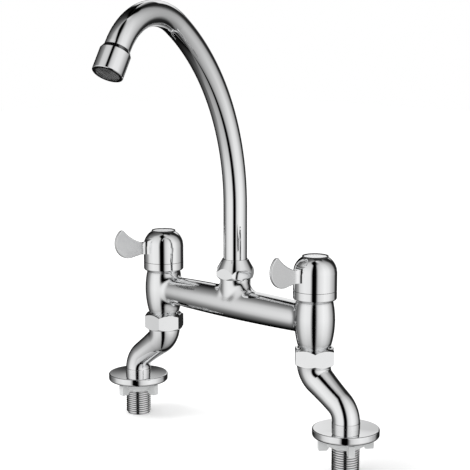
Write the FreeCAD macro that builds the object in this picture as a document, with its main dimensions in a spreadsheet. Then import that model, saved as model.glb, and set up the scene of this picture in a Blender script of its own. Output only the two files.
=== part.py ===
import FreeCAD, Part
import Sketcher
import math
import os
from types import SimpleNamespace

# Two-handle bridge mixer tap for a kitchen sink. The origin is on the deck, midway
# between the two barrels. +Z is up, -Y faces the user, -X is the hot side.
# Heights are measured from the deck. Lengths are millimetres, angles degrees.

DRIVING = {
    # Bridge casting: rises and drops are from the bridge tube's axis
    "barrel_centres": 167.2,
    "bridge_end_radius": 10.85,
    "bridge_swell": 1.65,
    "waterway_radius": 7.0,
    "barrel_rise": 16.0,
    "barrel_wall": 3.3,
    "barrel_drop": 19.0,
    "barrel_taper": 0.8,
    "barrel_curve": 70.0,
    "barrel_junction_fillet": 4.0,
    "boss_wall": 1.2,
    "boss_rise": 26.3,
    "boss_fillet": 9.0,
    "boss_bore_rise": 4.0,
    # Valve chamber in each barrel
    "chamber_step": 0.6,
    "chamber_drop": 10.0,
    "inlet_radius": 5.6,
    "spigot_step": 1.5,
    "spigot_length": 8.5,
    "spigot_cone": 1.4,
    # Union nut, its split ring and its washer
    "union_top_gap": 0.6,
    "union_length": 13.2,
    "union_wall": 1.7,
    "union_chamfer": 1.3,
    "union_recess_step": 0.2,
    "union_recess_depth": 1.0,
    "union_lip_thickness": 1.8,
    "union_lip_gap": 0.3,
    "union_ring_width": 1.5,
    "union_ring_play": 0.05,
    "union_ring_thickness": 1.6,
    "union_ring_groove_depth": 0.8,
    "union_washer_thickness": 2.0,
    "union_angle_hot": 2.0,
    "union_angle_cold": 13.7,
    # Cranked legs
    "leg_head_height": 5.1,
    "leg_elbow_step": 0.5,
    "leg_elbow_foot_step": 1.1,
    "leg_offset": 30.0,
    "leg_slope": 52.5,
    "leg_upper_bend": 14.0,
    "leg_lower_bend": 17.0,
    "leg_angle_hot": 186.3,
    "leg_angle_cold": 4.2,
    # Threaded tails, G 1/2
    "tail_shoulder_step": 0.18,
    "tail_shoulder_height": 4.5,
    "tail_seam": 0.5,
    "tail_length": 28.6,
    "thread_radius": 10.4775,
    "thread_pitch": 1.814,
    "thread_depth": 1.16,
    "thread_crest_width": 0.36,
    "thread_lead_in": 1.0,
    "eased_crest": 0.2,
    # Deck flange, gasket, clamp washer and wing nut
    "flange_radius": 25.2,
    "flange_rim_height": 6.28,
    "flange_crown": 0.32,
    "flange_edge_round": 1.0,
    "flange_foot_round": 2.0,
    "gasket_inner_step": 2.1,
    "gasket_margin": 3.2,
    "gasket_depth": 2.0,
    "gasket_play": 0.1,
    "washer_thickness": 1.2,
    "washer_step": 0.4,
    "washer_play": 0.3,
    "hub_wall": 4.5,
    "hub_height": 6.3,
    "hub_foot_step": 2.6,
    "hub_foot_height": 2.0,
    "lug_reach": 6.0,
    "lug_height": 8.8,
    "lug_thickness": 4.4,
    "lug_slope_run": 2.4,
    "lug_edge_round": 0.8,
    "nut_running_gap": 0.08,
    "wing_angle_hot": 3.9,
    "wing_angle_cold": -37.2,
    # Ceramic valve
    "seal_inner_step": 0.3,
    "seal_thickness": 2.0,
    "disc_radius": 7.7,
    "disc_thickness": 3.0,
    "disc_port_radius": 2.0,
    "disc_port_offset": 3.6,
    "driver_step": 0.7,
    "driver_thickness": 2.5,
    "driver_gap": 0.1,
    "slot_width": 2.6,
    "slot_depth": 1.2,
    "slot_share": 0.8,
    "tongue_share": 0.75,
    "tongue_play": 0.1,
    "sleeve_gap": 0.15,
    "sleeve_wall": 1.7,
    "sleeve_bottom_gap": 1.2,
    "window_height": 6.0,
    "window_width": 8.0,
    "bonnet_thread_step": 0.65,
    "bonnet_thread_gap": 0.05,
    "bonnet_thread_length": 7.0,
    "bonnet_roof_step": 1.0,
    "shroud_web": 1.6,
    "shroud_gap": 0.1,
    "bonnet_flange_thickness": 3.9,
    "bonnet_flange_step": 0.3,
    "bonnet_corner_share": 0.56,
    "bonnet_neck_radius": 7.0,
    "bonnet_neck_length": 3.5,
    "bonnet_seal_section": 1.6,
    "seal_play": 0.2,
    "spindle_radius": 3.5,
    "spindle_gap": 0.06,
    "spindle_seal_section": 1.0,
    "spindle_seal_depth": 11.0,
    "circlip_width": 1.9,
    "circlip_thickness": 0.8,
    "circlip_groove_depth": 0.7,
    "circlip_play": 0.05,
    "circlip_mouth_share": 0.55,
    "spline_step": 0.4,
    "spline_gap": 0.05,
    "spline_length": 12.3,
    # Shroud ring, handle, screw and index cap
    "dome_overhang": 2.95,
    "dome_wall": 1.9,
    "shroud_height": 6.9,
    "shroud_edge_round": 1.6,
    "handle_gap": 0.3,
    "dome_side": 13.3,
    "shoulder_radius": 13.5,
    "cap_radius": 9.4,
    "cap_groove": 0.5,
    "cap_proud": 0.5,
    "cap_thickness": 2.4,
    "cap_edge_round": 1.0,
    "socket_wall": 2.65,
    "socket_gap": 0.5,
    "dome_roof_rise": 3.5,
    "dome_roof_round": 3.0,
    "screw_head_radius": 3.6,
    "screw_head_height": 3.2,
    "screw_edge_round": 0.3,
    "screw_key_depth": 1.9,
    "screw_shank_radius": 1.95,
    "screw_length": 12.0,
    "screw_well_gap": 0.6,
    "screw_seat_thickness": 3.7,
    "screw_hole_gap": 0.1,
    # Fish-tail lever: rises and drops are from the height where the dome's side ends
    "lever_thickness": 2.4,
    "lever_end_reach": 32.4,
    "lever_end_rise": 5.0,
    "lever_end_radius": 13.0,
    "lever_horn_angle": 61.5,
    "lever_horn_round": 2.5,
    "lever_keel_angle": -99.0,
    "lever_flank_radius": 35.0,
    "lever_keel_radius": 200.0,
    "lever_edge_round": 0.9,
    "lever_root_fillet": 5.0,
    "neck_start": 4.2,
    "neck_top_rise": 4.1,
    "neck_bottom_drop": 5.9,
    "handle_angle_hot": -12.7,
    "handle_angle_cold": -4.6,
    # Spout, its bush, seals and nut
    "spout_radius": 9.3,
    "spout_wall": 1.0,
    "spout_foot_rise": 2.5,
    "spout_straight": 71.3,
    "first_bend_radius": 166.9,
    "first_bend_angle": 58.3,
    "second_bend_radius": 48.4,
    "second_bend_angle": 88.8,
    "spout_end_length": 21.9,
    "spout_angle": 11.4,
    "bush_seat_gap": 0.02,
    "bush_wall": 1.62,
    "bush_gap": 0.06,
    "bush_collar_step": 1.3,
    "bush_collar_thickness": 1.7,
    "slip_ring_thickness": 1.0,
    "spout_seal_section": 1.4,
    "spout_seal_squeeze": 0.04,
    "spout_seal_inset": 3.5,
    "spout_seal_spacing": 5.0,
    "spout_nut_skirt": 5.8,
    "spout_nut_length": 15.4,
    "spout_nut_wall": 1.1,
    "spout_nut_rim": 0.5,
    "spout_nut_slope": 0.563,
    "spout_nut_foot_step": 0.5,
    "spout_nut_foot_height": 2.6,
    "spout_nut_gap": 0.4,
    "spout_nut_angle": 5.8,
    # Aerator
    "aerator_wall": 0.85,
    "aerator_length": 16.3,
    "aerator_joint": 0.2,
    "aerator_shoulder": 3.0,
    "aerator_lip": 1.2,
    "aerator_lip_width": 0.7,
    "aerator_mouth_chamfer": 0.4,
    "aerator_insert_step": 0.9,
    "aerator_insert_gap": 0.1,
    "aerator_insert_length": 5.0,
    "insert_slot_share": 0.143,
    "insert_slot_spacing_share": 0.306,
    "insert_slot_start_share": 0.163,
    "aerator_washer_thickness": 1.8,
    "aerator_washer_width": 3.55,
    "aerator_washer_play": 0.15,
    "tip_thread_wall": 0.88,
    "tip_thread_gap": 0.05,
    "mesh_thickness": 0.4,
}


class Size:
    """A length or an angle, as the expression that the document keeps and its value now."""

    def __init__(self, text, value):
        self.text = text
        self.value = value

    def __add__(self, other):
        other = as_size(other)
        return Size(f"({self.text} + {other.text})", self.value + other.value)

    def __sub__(self, other):
        other = as_size(other)
        return Size(f"({self.text} - {other.text})", self.value - other.value)

    def __mul__(self, other):
        other = as_size(other)
        return Size(f"({self.text} * {other.text})", self.value * other.value)

    def __truediv__(self, other):
        other = as_size(other)
        return Size(f"({self.text} / {other.text})", self.value / other.value)

    def __neg__(self):
        return Size(f"(0 - {self.text})", -self.value)

    def __rsub__(self, other):
        return as_size(other) - self

    __radd__ = __add__
    __rmul__ = __mul__


def as_size(number):
    """A plain number as a Size, and a Size as it is."""
    if isinstance(number, Size):
        return number
    return Size(f"({number:.9g})", float(number))


def root(size):
    return Size(f"sqrt({size.text})", math.sqrt(size.value))


def cosine(angle):
    angle = as_size(angle)
    return Size(f"cos({angle.text})", math.cos(math.radians(angle.value)))


def sine(angle):
    angle = as_size(angle)
    return Size(f"sin({angle.text})", math.sin(math.radians(angle.value)))


document = FreeCAD.newDocument("mixer_tap")
sheet = document.addObject("Spreadsheet::Sheet", "Sizes")
for row, (alias, number) in enumerate(DRIVING.items(), start=1):
    sheet.set(f"A{row}", str(number))
    sheet.setAlias(f"A{row}", alias)
document.recompute()
size = SimpleNamespace(**{alias: Size(f"Sizes.{alias}", number) for alias, number in DRIVING.items()})

nodes = []


# Sketch helpers


def new_sketch(body, plane, name, right=0, up=0, out=0):
    """A sketch on one of the body's own planes, moved by right, up and out in its own directions."""
    sketch = body.newObject("Sketcher::SketchObject", name)
    for feature in body.Origin.OriginFeatures:
        if feature.Role == plane:
            sketch.AttachmentSupport = (feature, [""])
    sketch.MapMode = "FlatFace"
    offset = [as_size(right), as_size(up), as_size(out)]
    sketch.AttachmentOffset.Base = FreeCAD.Vector(*[part.value for part in offset])
    for axis, part in zip("xyz", offset):
        sketch.setExpression(f"AttachmentOffset.Base.{axis}", part.text)
    return sketch


def pin_point(sketch, geometry, vertex, x, y):
    """Hold one point of the sketch at the sizes x and y."""
    for kind, axis, length in (("DistanceX", -2, x), ("DistanceY", -1, y)):
        if not isinstance(length, Size) and length == 0:
            sketch.addConstraint(Sketcher.Constraint("PointOnObject", geometry, vertex, axis))
            continue
        length = as_size(length)
        number = sketch.addConstraint(
            Sketcher.Constraint(kind, -1, 1, geometry, vertex, length.value)
        )
        sketch.setExpression(f"Constraints[{number}]", length.text)


def hold_radius(sketch, geometry, radius):
    radius = as_size(radius)
    number = sketch.addConstraint(Sketcher.Constraint("Radius", geometry, radius.value))
    sketch.setExpression(f"Constraints[{number}]", radius.text)


def circle(sketch, x, y, radius):
    centre = FreeCAD.Vector(as_size(x).value, as_size(y).value, 0)
    shape = Part.Circle(centre, FreeCAD.Vector(0, 0, 1), as_size(radius).value)
    number = sketch.addGeometry(shape)
    pin_point(sketch, number, 3, x, y)
    hold_radius(sketch, number, radius)


def arc_between(start, end, radius, swell):
    """The arc from start to end. swell is 1 where it bulges to the right of the way, else -1.

    Gives the arc and the numbers of its points at start and end.
    """
    chord = end - start
    half = chord.Length / 2
    side = FreeCAD.Vector(chord.y, -chord.x, 0).normalize() * swell
    centre = start + chord / 2 - side * math.sqrt(radius * radius - half * half)
    first = math.atan2(start.y - centre.y, start.x - centre.x)
    last = math.atan2(end.y - centre.y, end.x - centre.x)
    ring = Part.Circle(centre, FreeCAD.Vector(0, 0, 1), radius)
    if swell > 0:
        return Part.ArcOfCircle(ring, first, last), 1, 2
    return Part.ArcOfCircle(ring, last, first), 2, 1


def bulge(radius, swell):
    """An edge of an outline that is an arc: see arc_between."""
    return SimpleNamespace(radius=as_size(radius), swell=swell)


def outline(sketch, *items, closed=True):
    """Draw lines through corners (x, y) or (x, y, rounding), with a bulge between two corners for an arc."""
    corners = []
    bulges = {}
    for item in items:
        if isinstance(item, SimpleNamespace):
            bulges[len(corners) - 1] = item
        else:
            corners.append(item)
    count = len(corners)
    points = [FreeCAD.Vector(as_size(c[0]).value, as_size(c[1]).value, 0) for c in corners]
    rounds = [as_size(c[2]) if len(c) > 2 else None for c in corners]
    trims = []
    for i in range(count):
        if rounds[i] is None:
            trims.append((points[i], points[i]))
            continue
        before = (points[i - 1] - points[i]).normalize()
        after = (points[(i + 1) % count] - points[i]).normalize()
        length = rounds[i].value / math.tan(before.getAngle(after) / 2)
        trims.append((points[i] + before * length, points[i] + after * length))
    edges = []
    for i in range(count if closed else count - 1):
        following = (i + 1) % count
        start, end = trims[i][1], trims[following][0]
        if i in bulges:
            arc, first, last = arc_between(start, end, bulges[i].radius.value, bulges[i].swell)
            number = sketch.addGeometry(arc)
            hold_radius(sketch, number, bulges[i].radius)
            edges.append((number, first, last))
        else:
            edges.append((sketch.addGeometry(Part.LineSegment(start, end)), 1, 2))
    for i in range(count):
        x, y = corners[i][0], corners[i][1]
        if not closed and i == count - 1:
            pin_point(sketch, edges[-1][0], edges[-1][2], x, y)
            continue
        number, first, _ = edges[i]
        if rounds[i] is None:
            pin_point(sketch, number, first, x, y)
            if closed or i > 0:
                previous, _, last = edges[i - 1]
                sketch.addConstraint(
                    Sketcher.Constraint("Coincident", previous, last, number, first)
                )
            continue
        previous, _, last = edges[i - 1]
        arriving, leaving = trims[i]
        turn = (points[i] - points[i - 1]).cross(points[(i + 1) % count] - points[i]).z
        arc, enter, depart = arc_between(arriving, leaving, rounds[i].value, 1 if turn > 0 else -1)
        rounding = sketch.addGeometry(arc)
        corner = sketch.addGeometry(Part.Point(points[i]), True)
        pin_point(sketch, corner, 1, x, y)
        sketch.addConstraint(Sketcher.Constraint("PointOnObject", corner, 1, previous))
        sketch.addConstraint(Sketcher.Constraint("PointOnObject", corner, 1, number))
        sketch.addConstraint(Sketcher.Constraint("Tangent", previous, last, rounding, enter))
        sketch.addConstraint(Sketcher.Constraint("Tangent", rounding, depart, number, first))
        hold_radius(sketch, rounding, rounds[i])


def hexagon(sketch, flats):
    """A hexagon of this width across its flats, with a corner on the sketch's first axis."""
    corner = flats / math.sqrt(3)
    outline(
        sketch,
        *[
            (corner * round(math.cos(math.radians(a)), 9), corner * round(math.sin(math.radians(a)), 9))
            if a % 180
            else (corner if a == 0 else -corner, 0)
            for a in range(0, 360, 60)
        ],
    )


# Feature helpers


def new_body(name):
    body = document.addObject("PartDesign::Body", name)
    body.Label = name
    nodes.append(body)
    return body


def revolve(body, sketch, axis="V_Axis", kind="Revolution"):
    feature = body.newObject(f"PartDesign::{kind}", f"{sketch.Name}_{kind}")
    feature.Profile = (sketch, [""])
    feature.ReferenceAxis = (sketch, [axis])
    feature.Angle = 360
    return feature


def turn_up(body, *items):
    """Add a turned solid whose half section, drawn in the XZ plane, is this outline."""
    sketch = new_sketch(body, "XZ_Plane", "Section")
    outline(sketch, *items)
    return revolve(body, sketch)


def turn_out(body, *outlines, right=0):
    """Cut away the rings whose half sections are these outlines."""
    sketch = new_sketch(body, "XZ_Plane", "Bore", right=right)
    for items in outlines:
        outline(sketch, *items)
    return revolve(body, sketch, kind="Groove")


def pad(body, sketch, length, middle=False):
    feature = body.newObject("PartDesign::Pad", f"{sketch.Name}_Pad")
    feature.Profile = (sketch, [""])
    feature.Length = as_size(length).value
    feature.setExpression("Length", as_size(length).text)
    feature.Midplane = middle
    return feature


def pocket(body, sketch, length, middle=False):
    feature = body.newObject("PartDesign::Pocket", f"{sketch.Name}_Pocket")
    feature.Profile = (sketch, [""])
    feature.Length = as_size(length).value
    feature.setExpression("Length", as_size(length).text)
    feature.Midplane = middle
    return feature


def round_edges(body, base, radius, chosen):
    """Fillet the base feature's edges for which chosen(edge) is true."""
    document.recompute()
    names = [f"Edge{i}" for i, edge in enumerate(base.Shape.Edges, start=1) if chosen(edge)]
    feature = body.newObject("PartDesign::Fillet", "Rounding")
    feature.Base = (base, names)
    feature.Radius = as_size(radius).value
    feature.setExpression("Radius", as_size(radius).text)
    return feature


def crossing(nearest, farthest):
    """A test for the curves where turned surfaces cross, centred this far along X from the axis."""

    def chosen(edge):
        plain = isinstance(edge.Curve, (Part.Line, Part.LineSegment, Part.Circle))
        away = abs(edge.BoundBox.Center.x)
        return not plain and as_size(nearest).value <= away <= as_size(farthest).value

    return chosen


def place(item, x=0, y=0, z=0, turn=0, tilt=0):
    """Put the item at x, y, z, tilted about its Y axis and then turned about Z."""
    x, y, z, turn, tilt = [as_size(number) for number in (x, y, z, turn, tilt)]
    item.setExpression(
        "Placement",
        f"placement(vector({x.text}; {y.text}; {z.text}); rotation({turn.text}; {tilt.text}; 0))",
    )


def tube_ring(name, inner, outer, bottom, top):
    """A plain flat ring, such as a washer."""
    body = new_body(name)
    turn_up(body, (inner, bottom), (outer, bottom), (outer, top), (inner, top))
    return body


def round_ring(name, middle, section):
    """A ring of round section: its middle radius and its section's diameter."""
    ring = document.addObject("Part::Torus", name)
    ring.Label = name
    ring.setExpression("Radius1", middle.text)
    ring.setExpression("Radius2", (section / 2).text)
    return ring


s = size

# Sizes worked out from the driving ones. A cut runs this far past the face that it opens.

past = as_size(1)
half_centres = s.barrel_centres / 2

# Leg and tail, from the deck up
flange_top = s.flange_rim_height + s.flange_crown
tail_top = flange_top + s.tail_shoulder_height
lower_bend_top = tail_top + s.leg_lower_bend * sine(s.leg_slope)
upper_step = s.leg_upper_bend * (1 - cosine(s.leg_slope))
lower_step = s.leg_lower_bend * (1 - cosine(s.leg_slope))
leg_run = (s.leg_offset - upper_step - lower_step) / sine(s.leg_slope)
upper_bend_foot = lower_bend_top + leg_run * cosine(s.leg_slope)
leg_bend_start = upper_bend_foot + s.leg_upper_bend * sine(s.leg_slope)
leg_top = leg_bend_start + s.leg_head_height

# Barrel and bridge, from the leg's top up
spigot_end = leg_top + s.union_washer_thickness
barrel_foot = spigot_end + s.spigot_length
spigot_shoulder = barrel_foot - s.spigot_cone
bridge_height = barrel_foot + s.barrel_drop
barrel_top = bridge_height + s.barrel_rise
chamber_floor = bridge_height - s.chamber_drop
chamber_roof = barrel_top - s.bonnet_thread_length
union_top = spigot_shoulder - s.union_top_gap
union_base = union_top - s.union_length
union_ring_top = union_top - s.union_recess_depth - s.union_lip_thickness - s.union_ring_play * 2
union_ring_bottom = union_ring_top - s.union_ring_thickness

# Valve, bonnet and spindle, from the chamber's floor up
disc_base = chamber_floor + s.seal_thickness
moving_disc_base = disc_base + s.disc_thickness
moving_disc_top = moving_disc_base + s.disc_thickness
bonnet_roof = chamber_roof - s.bonnet_roof_step
driver_top = bonnet_roof - s.driver_gap
driver_base = driver_top - s.driver_thickness
flange_seat = barrel_top + s.shroud_web
bonnet_flange_top = flange_seat + s.bonnet_flange_thickness
bonnet_top = bonnet_flange_top + s.bonnet_neck_length
bonnet_seal_floor = barrel_top - s.bonnet_seal_section - s.seal_play * 2
spindle_seal_height = bonnet_top - s.spindle_seal_depth
circlip_base = bonnet_top + s.handle_gap
spindle_top = circlip_base + s.spline_length

# Radii of the valve and what is round it, from the discs outwards
sleeve_inner = s.disc_radius + s.sleeve_gap
sleeve_outer = sleeve_inner + s.sleeve_wall
bonnet_thread_radius = sleeve_outer + s.bonnet_thread_step
chamber_radius = bonnet_thread_radius + s.chamber_step
barrel_top_radius = bonnet_thread_radius + s.barrel_wall
barrel_foot_radius = barrel_top_radius - s.barrel_taper
spigot_radius = barrel_foot_radius - s.spigot_step
union_thread_radius = spigot_radius + s.union_ring_width
union_flats = (union_thread_radius + s.union_wall) * 2
bonnet_flange_flats = (bonnet_thread_radius + s.bonnet_flange_step) * 2
dome_radius = barrel_top_radius + s.dome_overhang
dome_inner = dome_radius - s.dome_wall
neck_bore = s.spindle_radius + s.spindle_gap
spline_radius = s.spindle_radius + s.spline_step
spline_socket = spline_radius + s.spline_gap

# Handle, its screw and its cap
shroud_top = barrel_top + s.shroud_height
handle_bottom = shroud_top + s.handle_gap
shoulder_height = handle_bottom + s.dome_side
cap_recess = s.cap_radius + s.cap_groove
shoulder_centre = dome_radius - s.shoulder_radius
dome_rim_height = shoulder_height + root(
    s.shoulder_radius * s.shoulder_radius - (cap_recess - shoulder_centre) * (cap_recess - shoulder_centre)
)
cap_top = dome_rim_height + s.cap_proud
cap_floor = cap_top - s.cap_thickness
socket_roof = spindle_top + s.handle_gap
screw_seat = socket_roof + s.screw_seat_thickness

# Tail below the deck, and the wing nut on it
nut_top = -s.washer_thickness
nut_bottom = nut_top - s.hub_height
hub_radius = s.thread_radius + s.hub_wall
gasket_inner = s.thread_radius + s.gasket_inner_step
gasket_outer = s.flange_radius - s.gasket_margin

# Spout, bush and spout nut
bush_inner = s.spout_radius + s.bush_seat_gap
bush_radius = bush_inner + s.bush_wall
boss_bore_radius = bush_radius + s.bush_gap
boss_radius = boss_bore_radius + s.boss_wall
bush_collar_radius = boss_bore_radius + s.bush_collar_step
spout_nut_bore_radius = bush_collar_radius + s.spout_nut_gap
spout_nut_flats = (spout_nut_bore_radius + s.spout_nut_wall) * 2
boss_top = bridge_height + s.boss_rise
boss_bore_floor = bridge_height + s.boss_bore_rise
spout_foot = boss_bore_floor + s.spout_foot_rise
spout_straight_top = spout_foot + s.spout_straight
lower_seal_height = spout_foot + s.spout_seal_inset
upper_seal_height = lower_seal_height + s.spout_seal_spacing
collar_base = boss_top + s.slip_ring_thickness + s.handle_gap
collar_top = collar_base + s.bush_collar_thickness

# Aerator, from its mouth up and from the spout's wall out
insert_base = s.aerator_lip + s.mesh_thickness
insert_top = insert_base + s.aerator_insert_length
tube_end = insert_top + s.aerator_washer_thickness
tip_thread_radius = bush_inner + s.tip_thread_wall
aerator_radius = tip_thread_radius + s.tip_thread_gap + s.aerator_wall
insert_radius = tip_thread_radius - s.aerator_insert_step


def bridge_body():
    """The casting: a bridge tube that swells to its middle, two barrels and the spout boss."""
    body = new_body("bridge_body")
    for side, way in (("Hot", -1), ("Cold", 1)):
        barrel = new_sketch(body, "XZ_Plane", f"{side}Barrel", right=half_centres * way)
        outline(
            barrel,
            (0, spigot_end),
            (spigot_radius * way, spigot_end),
            (spigot_radius * way, spigot_shoulder),
            (barrel_foot_radius * way, barrel_foot),
            bulge(s.barrel_curve, way),
            (barrel_top_radius * way, barrel_top),
            (0, barrel_top),
        )
        revolve(body, barrel)
    tube = new_sketch(body, "XZ_Plane", "BridgeTube", up=bridge_height)
    outline(
        tube,
        (half_centres, 0),
        (-half_centres, 0),
        (-half_centres, -s.bridge_end_radius),
        bulge((half_centres * half_centres + s.bridge_swell * s.bridge_swell) / (s.bridge_swell * 2), 1),
        (half_centres, -s.bridge_end_radius),
    )
    joined = revolve(body, tube, "H_Axis")
    reached = half_centres - barrel_top_radius
    at_barrels = crossing(reached - s.barrel_wall, reached + barrel_top_radius / 2)
    round_edges(body, joined, s.barrel_junction_fillet, at_barrels)
    boss = new_sketch(body, "XZ_Plane", "Boss")
    outline(boss, (0, bridge_height), (boss_radius, bridge_height), (boss_radius, boss_top), (0, boss_top))
    joined = revolve(body, boss)
    round_edges(body, joined, s.boss_fillet, crossing(0, boss_radius))
    waterway = new_sketch(body, "XZ_Plane", "Waterway", up=bridge_height)
    outline(
        waterway,
        (-half_centres, 0),
        (half_centres, 0),
        (half_centres, s.waterway_radius),
        (-half_centres, s.waterway_radius),
    )
    revolve(body, waterway, "H_Axis", "Groove")
    groove_floor = spigot_radius - s.union_ring_groove_depth
    bonnet_hole = bonnet_thread_radius + s.bonnet_thread_gap
    for centre in (-half_centres, half_centres):
        turn_out(
            body,
            [
                (0, spigot_end - past),
                (s.inlet_radius, spigot_end - past),
                (s.inlet_radius, chamber_floor),
                (chamber_radius, chamber_floor),
                (chamber_radius, chamber_roof),
                (bonnet_hole, chamber_roof),
                (bonnet_hole, barrel_top + past),
                (0, barrel_top + past),
            ],
            [
                (groove_floor, union_ring_bottom),
                (spigot_radius + past, union_ring_bottom),
                (spigot_radius + past, union_ring_top),
                (groove_floor, union_ring_top),
            ],
            right=centre,
        )
    turn_out(
        body,
        [
            (0, boss_bore_floor),
            (boss_bore_radius, boss_bore_floor),
            (boss_bore_radius, boss_top + past),
            (0, boss_top + past),
        ],
    )
    return body


def union_nut(name):
    """The hexagon nut that hangs on the barrel's split ring and draws the leg's head up."""
    body = new_body(name)
    prism = new_sketch(body, "XY_Plane", "Hexagon", out=union_base)
    hexagon(prism, union_flats)
    pad(body, prism, s.union_length)
    corner = union_flats / math.sqrt(3)
    bevel = s.union_chamfer * 2
    lip_top = union_top - s.union_recess_depth
    lip_bottom = lip_top - s.union_lip_thickness
    recess = union_thread_radius + s.union_recess_step
    lip_bore = spigot_radius + s.union_lip_gap
    turn_out(
        body,
        [
            (0, union_base - past),
            (union_thread_radius, union_base - past),
            (union_thread_radius, lip_bottom),
            (lip_bore, lip_bottom),
            (lip_bore, lip_top),
            (recess, lip_top),
            (recess, union_top + past),
            (0, union_top + past),
        ],
        [
            (corner - bevel, union_top),
            (corner + past, union_top - bevel),
            (corner + past, union_top),
        ],
        [
            (corner - bevel, union_base),
            (corner + past, union_base),
            (corner + past, union_base + bevel),
        ],
    )
    return body


def crank_path(body, name, *head):
    """The leg's centre line in the XZ plane, from the elbow or its head down to the tail."""
    path = new_sketch(body, "XZ_Plane", name)
    outline(
        path,
        *head,
        (0, leg_bend_start),
        bulge(s.leg_upper_bend, 1),
        (upper_step, upper_bend_foot),
        (s.leg_offset - lower_step, lower_bend_top),
        bulge(s.leg_lower_bend, -1),
        (s.leg_offset, tail_top),
        closed=False,
    )
    return path


def pipe(body, profile, path, kind="AdditivePipe", sections=()):
    """Sweep the profile along the path, and through more sections where some are given."""
    feature = body.newObject(f"PartDesign::{kind}", f"{profile.Name}_{kind}")
    feature.Profile = (profile, [""])
    feature.Spine = (path, [""])
    if sections:
        feature.Transformation = "Multisection"
        feature.Sections = [(section, [""]) for section in sections]
    return feature


def leg(name):
    """A cranked leg: a threaded head over an elbow that narrows down to the tail."""
    body = new_body(name)
    head = union_thread_radius - s.nut_running_gap
    rounds = []
    for label, right, out, slope, radius in (
        ("ElbowTop", 0, leg_bend_start, 0, head + s.leg_elbow_step),
        ("ElbowFoot", upper_step, upper_bend_foot, s.leg_slope, s.thread_radius + s.leg_elbow_foot_step),
        ("Foot", s.leg_offset, tail_top, 0, s.thread_radius),
    ):
        disc = new_sketch(body, "XY_Plane", label, right=right, out=out)
        disc.AttachmentOffset.Rotation = FreeCAD.Rotation(FreeCAD.Vector(0, 1, 0), as_size(-slope).value)
        disc.setExpression("AttachmentOffset.Rotation.Angle", as_size(-slope).text)
        circle(disc, 0, 0, radius)
        rounds.append(disc)
    pipe(body, rounds[0], crank_path(body, "OuterPath"), sections=rounds[1:])
    turn_up(body, (0, leg_bend_start), (head, leg_bend_start), (head, leg_top), (0, leg_top))
    hole = new_sketch(body, "XY_Plane", "InnerSection", out=leg_top)
    circle(hole, 0, 0, s.waterway_radius)
    pipe(body, hole, crank_path(body, "InnerPath", (0, leg_top)), "SubtractivePipe")
    return body


def tail(name):
    """The threaded tail: a shoulder on the flange, then thread ridges to the free end."""
    body = new_body(name)
    root_radius = s.thread_radius - s.thread_depth
    shoulder = s.thread_radius + s.tail_shoulder_step
    end = -s.tail_length
    start = end + s.thread_lead_in
    items = [(s.waterway_radius, tail_top), (s.waterway_radius, end), (root_radius, end)]
    count = int((flange_top.value - start.value) / s.thread_pitch.value)
    for turn in range(count):
        foot = start + s.thread_pitch * turn
        middle = foot + s.thread_pitch / 2
        free = middle.value + s.thread_pitch.value / 2 < nut_bottom.value
        crest = s.thread_radius if free else s.thread_radius - s.eased_crest
        items.append((root_radius, foot))
        items.append((crest, middle - s.thread_crest_width / 2))
        items.append((crest, middle + s.thread_crest_width / 2))
    items.append((root_radius, start + s.thread_pitch * count))
    items.append((root_radius, flange_top))
    items.append((shoulder, flange_top))
    items.append((shoulder, tail_top - s.tail_seam))
    items.append((shoulder - s.tail_seam, tail_top))
    turn_up(body, *items)
    return body


def flange(name):
    """The deck flange, screwed on the tail up to its shoulder, with a groove for the gasket."""
    body = new_body(name)
    bore = s.thread_radius - s.eased_crest + s.nut_running_gap
    turn_up(
        body,
        (bore, 0),
        (gasket_inner, 0),
        (gasket_inner, s.gasket_depth),
        (gasket_outer, s.gasket_depth),
        (gasket_outer, 0),
        (s.flange_radius, 0, s.flange_foot_round),
        (s.flange_radius, s.flange_rim_height, s.flange_edge_round),
        (bore, flange_top),
    )
    return body


def wing_nut(name):
    """The backnut: a round hub and four lugs that hang a little below it."""
    body = new_body(name)
    bore = s.thread_radius + s.nut_running_gap
    foot_radius = hub_radius - s.hub_foot_step
    turn_up(
        body,
        (bore, nut_bottom),
        (foot_radius, nut_bottom),
        (hub_radius, nut_bottom + s.hub_foot_height),
        (hub_radius, nut_top),
        (bore, nut_top),
    )
    low = nut_top - s.lug_height
    reach = hub_radius + s.lug_reach
    for plane, label in (("XZ_Plane", "SideLugs"), ("YZ_Plane", "FrontLugs")):
        lugs = new_sketch(body, plane, label)
        for way in (1, -1):
            outline(
                lugs,
                (foot_radius * way, nut_bottom + s.hub_foot_height / 4),
                ((foot_radius + s.lug_slope_run) * way, low),
                (reach * way, low, s.lug_edge_round),
                (reach * way, nut_top, s.lug_edge_round),
                (foot_radius * way, nut_top),
            )
        pad(body, lugs, s.lug_thickness, middle=True)
    return body


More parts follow.
